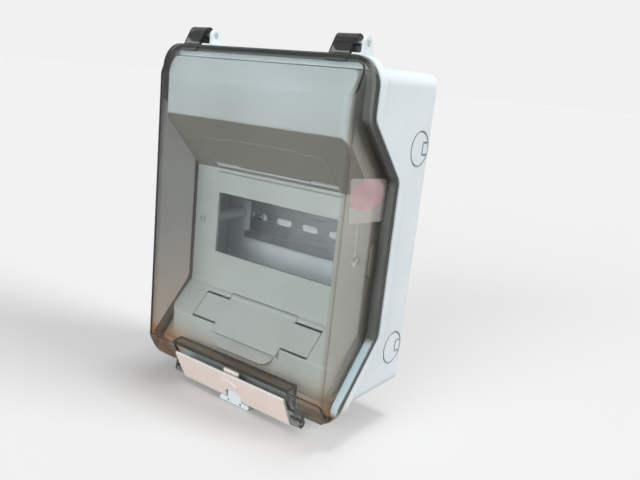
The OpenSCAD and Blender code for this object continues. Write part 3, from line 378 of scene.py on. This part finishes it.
def smoke(name, depth_tint, density):
    """Smoke clear plastic, tinted all through, with darker straps. Its side walls and latch pocket get
    painted shade, its foot and lower left wall a painted warm tint of the surroundings, its rim's edges a
    dark tint that is partly their long path through the plastic and partly painted shade, and the lower part
    of the rim's right ledge a pale painted highlight."""
    m = bpy.data.materials.new(name)
    t = Tree(m)
    mask = cover_masks(t)
    colour = {place: rgb(written) for place, written in CLEAR_TINTS.items()}
    # painted shade, painted surroundings and a painted highlight, laid over the smoke's own swirl and darker
    # straps
    wall = t.blend(mask["left_wall_top_painted_shade"], colour["left_wall_foot_painted_shade"], colour["left_wall_top_painted_shade"])
    foot = t.blend(mask["painted_warm_foot_right"], colour["painted_warm_foot_left"], colour["painted_warm_foot_right"])
    tint = t.ramp(t.noise(*SWIRL), MOST, colour["plain_dark"], colour["plain_light"])
    tint = t.blend(mask["left_wall_painted_shade"], tint, wall)
    for place in ("right_wall_painted_shade", "left_wall_painted_surroundings"):
        tint = t.blend(mask[place], tint, colour[place])
    tint = t.blend(mask["foot"], tint, foot)
    for place in ("straps", "pocket", "rim", "painted_highlight"):
        tint = t.blend(mask[place], tint, colour[place])
    p = t.add("ShaderNodeBsdfPrincipled", {
        "Base Color": tint,
        "Roughness": t.ramp(t.noise(*HAZE), UPPER, grey(COVER_ROUGH[0]), grey(COVER_ROUGH[1])),
        "IOR": COVER_IOR,
        # less light passes where the highlight is painted, so that its pale colour shows
        "Transmission Weight": t.math("SUBTRACT", 1.0, t.product(mask["painted_highlight"], PAINTED_HIGHLIGHT_SHUT)),
    })
    # lamps shine straight through, with the tint
    clear = t.add("ShaderNodeBsdfTransparent", {"Color": tint})
    path = t.add("ShaderNodeLightPath")
    mix = t.add("ShaderNodeMixShader", {
        "Fac": path.outputs["Is Shadow Ray"],
        1: p.outputs["BSDF"],
        2: clear.outputs["BSDF"],
    })
    depth = t.add("ShaderNodeVolumeAbsorption", {"Color": rgb(depth_tint), "Density": density})
    t.add("ShaderNodeOutputMaterial", {"Surface": mix.outputs["Shader"], "Volume": depth.outputs["Volume"]})
    return m


# ---------------------------------------------------------------- finishes of the nodes
MATERIALS = {
    "box": plastic("box_moulded", "DDE8EE", "E4EEF4", edge=0.6 * MM),
    "panel": plastic("panel_moulded", "B8BFBD", "C2C9C7", rough=(0.30, 0.42), edge=0.5 * MM,
                     painted_light_and_shade=panel_painted_light_and_shade),
    "latch": plastic("latch_moulded", "F4E7E0", "F7EDE7", rough=(0.30, 0.35), bump=0.01 * MM,
                     edge=0.3 * MM, painted_light_and_shade=latch_painted_light),
    "seal": plastic("seal_rubber", "A9AFAB", "B6BCB8", rough=(0.55, 0.7), grain=900.0, bump=0.08 * MM,
                    sheen=0.2, painted_light_and_shade=seal_painted_seam_shade),
    "cover": smoke("cover_smoke", depth_tint="939492", density=255.0),
    "steel": metal("plated_steel", "AEB4B8", "CDD2D5"),
    "rail": metal("rail_steel", "A9AFB3", "C9CED1", rough=(0.28, 0.45)),
    "brass": metal("bar_brass", "B8923E", "D9B765"),
    "blue": plastic("holder_blue", "3F6EA6", "4A7BB4"),
    "green": plastic("holder_green", "3F7A4C", "4A8858"),
}
FINISH = {
    "back_box": "box", "seal": "seal", "cover": "cover",
    "hinge_pin_left": "steel", "hinge_pin_right": "steel",
    "inner_panel": "panel", "upper_flap": "panel", "lower_flap": "panel", "panel_screws": "panel",
    "post_inserts": "brass", "device_rail": "rail", "rail_screws": "steel",
    "upper_bar_holder": "blue", "upper_terminal_bar": "brass",
    "upper_terminal_screws": "steel", "upper_holder_screws": "steel",
    "lower_bar_holder": "green", "lower_terminal_bar": "brass",
    "lower_terminal_screws": "steel", "lower_holder_screws": "steel",
    "latch_plate": "latch", "latch_pin_left": "steel", "latch_pin_right": "steel",
}
for name, finish in FINISH.items():
    for s in nodes[name].material_slots:
        s.material = MATERIALS[finish]


# ---------------------------------------------------------------- pieces on the cover
# outlines are in (y, z); the film's are in metres in the frame, the arrow's in millimetres from its tip
LABEL_CORNERS = ((-0.0850, 0.0450), (-0.0415, 0.0425), (-0.0415, 0.0150), (-0.0820, 0.0175))
LABEL_ROUNDING = 2.2 * MM
LABEL_GAP, LABEL_THICK = 0.03 * MM, 0.12 * MM
CORNER_STEPS = 6

OVAL_CENTRE = (-0.0634, 0.0336)
OVAL_HALF = (0.0204, 0.0098)
OVAL_EDGE = (1.04, 0.94)  # its soft edge, from no ink to full ink, around the value 1 on its line
FILM_ALPHA = 0.34
OVAL_ALPHA = 0.20  # what the ink adds to the film's alpha
FILM_ROUGHNESS = 0.3
FILM_CREASE_STRENGTH, FILM_CREASE_HEIGHT = 0.4, 0.1 * MM

ARROW_TIP = (-0.0705, -0.0105)
ARROW_SHAFT = ((-0.3, 6.0), (0.3, 6.0), (-1.0, 24.5), (-1.6, 24.5))
ARROW_HEAD = ((-3.4, 4.0), (-2.6, 4.4), (0.0, 1.0), (2.6, 4.4), (3.4, 4.0), (0.0, -0.8))
ARROW_GAP, SHAFT_THICK, HEAD_THICK = 0.02 * MM, 0.2 * MM, 0.25 * MM
ARROW_PARTS = (("arrow_shaft", ARROW_SHAFT, SHAFT_THICK), ("arrow_head", ARROW_HEAD, HEAD_THICK))


def outline_sheet(name, outline, x, thick, mat, rides="cover"):
    """Thin sheet on the cover's right side wall, from an outline in (y, z)."""
    mesh = bpy.data.meshes.new(name)
    bm = bmesh.new()
    face = bm.faces.new([bm.verts.new((x, y, z)) for y, z in outline])
    bm.normal_update()
    if face.normal.x < 0:
        face.normal_flip()
    made = bmesh.ops.extrude_face_region(bm, geom=[face])
    for v in made["geom"]:
        if isinstance(v, bmesh.types.BMVert):
            v.co.x += thick
    bmesh.ops.recalc_face_normals(bm, faces=bm.faces)
    bm.to_mesh(mesh)
    bm.free()
    ob = bpy.data.objects.new(name, mesh)
    scene.collection.objects.link(ob)
    mesh.materials.append(mat)
    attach(ob, rides)


def rounded(corners, r):
    """Points of a convex outline whose corners are rounded by a curve of about radius r."""
    out = []
    n = len(corners)
    for i, corner in enumerate(corners):
        corner = Vector(corner)
        before, after = Vector(corners[i - 1]), Vector(corners[(i + 1) % n])
        a = corner + (before - corner).normalized() * r
        b = corner + (after - corner).normalized() * r
        for k in range(CORNER_STEPS + 1):
            t = k / CORNER_STEPS
            out.append(tuple((1 - t) ** 2 * a + 2 * t * (1 - t) * corner + t * t * b))
    return out


def label_film():
    """Pale translucent film with a plain pink oval printed on it, a little cloudy and creased."""
    m = bpy.data.materials.new("label_film")
    t = Tree(m)
    at = t.split("Object")
    reach = 0.0
    for axis, centre, half in zip("YZ", OVAL_CENTRE, OVAL_HALF):
        apart = t.math("DIVIDE", t.math("SUBTRACT", at[axis], centre), half)
        reach = t.math("ADD", t.product(apart, apart), reach)
    oval = t.step(reach, *OVAL_EDGE)
    cloud = t.noise(*FILM_CLOUD)
    paper = t.ramp(cloud, MOST, rgb("CFCDCB"), rgb("DFDDDB"))
    ink = t.ramp(cloud, MOST, rgb("D4B1B2"), rgb("E2C8C8"))
    creased = t.add("ShaderNodeBump", {
        "Strength": FILM_CREASE_STRENGTH,
        "Distance": FILM_CREASE_HEIGHT,
        "Height": t.noise(*FILM_CREASES),
    })
    p = t.add("ShaderNodeBsdfPrincipled", {
        "Base Color": t.blend(oval, paper, ink),
        "Alpha": t.math("ADD", t.product(oval, OVAL_ALPHA), FILM_ALPHA),
        "Roughness": FILM_ROUGHNESS,
        "Normal": creased.outputs["Normal"],
    })
    t.add("ShaderNodeOutputMaterial", {"Surface": p.outputs["BSDF"]})
    return m


def label():
    """The film sticker, near the front edge of the wall."""
    outline = rounded(LABEL_CORNERS, LABEL_ROUNDING)
    outline_sheet("label", outline, WALL_X + LABEL_GAP, LABEL_THICK, label_film())


def arrow_mark():
    """Moulded arrow on the side wall: a thin shaft and an open head."""
    m = plastic("arrow_moulded", "BCC2BD", "C9CECA", rough=(0.2, 0.3), bump=0.01 * MM)
    tip_y, tip_z = ARROW_TIP
    for name, points, thick in ARROW_PARTS:
        outline = [(tip_y + y * MM, tip_z + z * MM) for y, z in points]
        outline_sheet(name, outline, WALL_X + ARROW_GAP, thick, m)


# ---------------------------------------------------------------- floor, world and lamps
# name, the way to it, strength and spread in degrees of each lamp
SUNS = (
    ("key", Vector((0.80, 0.26, 0.54)).normalized(), 2.0, 30),
    ("front", Vector((0.03, -0.97, 0.20)).normalized(), 2.85, 46),
    ("top", Vector((0.06, 0.10, 0.99)).normalized(), 0.75, 14),
)
SKY_LEVEL = 0.25  # the sky's light at the horizon
SKY_RISE = 0.09  # what it gains up to straight overhead
RISE_SHARE = 2 / 3  # how much of that gain a level floor gets
PAPER = 0.879  # the backdrop's white
FLOOR = 0.74  # the floor's colour as it is seen, which sets how deep its shadows are
FLOOR_STEP = 0.012  # small correction that evens the floor with the backdrop
BOUNCE = (0.25, 0.21, 0.18, 1.0)  # the floor's colour for the light that it throws back on the object
FLOOR_GAP = 0.5 * MM
FLOOR_REACH = 40.0


def seen_directly(t):
    """1 where the camera sees the backdrop, also in gloss and through clear plastic."""
    path = t.add("ShaderNodeLightPath")
    either = t.math("MAXIMUM", path.outputs["Is Camera Ray"], path.outputs["Is Glossy Ray"])
    return t.math("MAXIMUM", either, path.outputs["Is Transmission Ray"])


def stage():
    """Level floor just under the lowest point, with the object's shadow on it."""
    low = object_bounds()[0][2]
    mesh = bpy.data.meshes.new("floor")
    bm = bmesh.new()
    bmesh.ops.create_grid(bm, x_segments=1, y_segments=1, size=FLOOR_REACH)
    bm.to_mesh(mesh)
    bm.free()
    floor = bpy.data.objects.new("floor", mesh)
    scene.collection.objects.link(floor)
    floor.location = (0, 0, low - FLOOR_GAP)
    # the light that falls on the open floor, so that the floor plus its own glow comes out as the backdrop
    fallen = SKY_LEVEL + SKY_RISE * RISE_SHARE
    for _, way, strength, spread in SUNS:
        disc = (1 + math.cos(math.radians(spread / 2))) / 2
        fallen += strength * disc * way.z / math.pi
    m = bpy.data.materials.new("floor")
    t = Tree(m)
    seen = seen_directly(t)
    paper = t.add("ShaderNodeBsdfDiffuse", {"Color": t.blend(seen, BOUNCE, grey(FLOOR))})
    glow = t.add("ShaderNodeEmission", {
        "Color": grey(PAPER - FLOOR_STEP - FLOOR * fallen),
        "Strength": seen,
    })
    both = t.add("ShaderNodeAddShader", {0: paper.outputs["BSDF"], 1: glow.outputs["Emission"]})
    t.add("ShaderNodeOutputMaterial", {"Surface": both.outputs["Shader"]})
    mesh.materials.append(m)
    floor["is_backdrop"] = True


def sky():
    """The backdrop's plain white where it is seen, and soft light from above for everything else."""
    world = bpy.data.worlds.new("studio")
    scene.world = world
    t = Tree(world)
    back = t.add("ShaderNodeBackground", {"Color": grey(PAPER), "Strength": 1.0})
    level = t.math("ADD", t.product(t.split("Generated")["Z"], SKY_RISE), SKY_LEVEL)
    lit = t.add("ShaderNodeBackground", {"Color": grey(1.0), "Strength": level})
    mix = t.add("ShaderNodeMixShader", {
        "Fac": seen_directly(t),
        1: lit.outputs["Background"],
        2: back.outputs["Background"],
    })
    t.add("ShaderNodeOutputWorld", {"Surface": mix.outputs["Shader"]})


def suns():
    """The lamps, each of which shines from its way towards the origin."""
    for name, way, strength, spread in SUNS:
        data = bpy.data.lights.new(name, "SUN")
        data.energy = strength
        data.angle = math.radians(spread)
        ob = bpy.data.objects.new(name, data)
        scene.collection.objects.link(ob)
        ob.location = way
        ob.rotation_euler = way.to_track_quat("Z", "Y").to_euler()


label()
arrow_mark()
stage()
sky()
suns()

scene.view_settings.view_transform = "Standard"
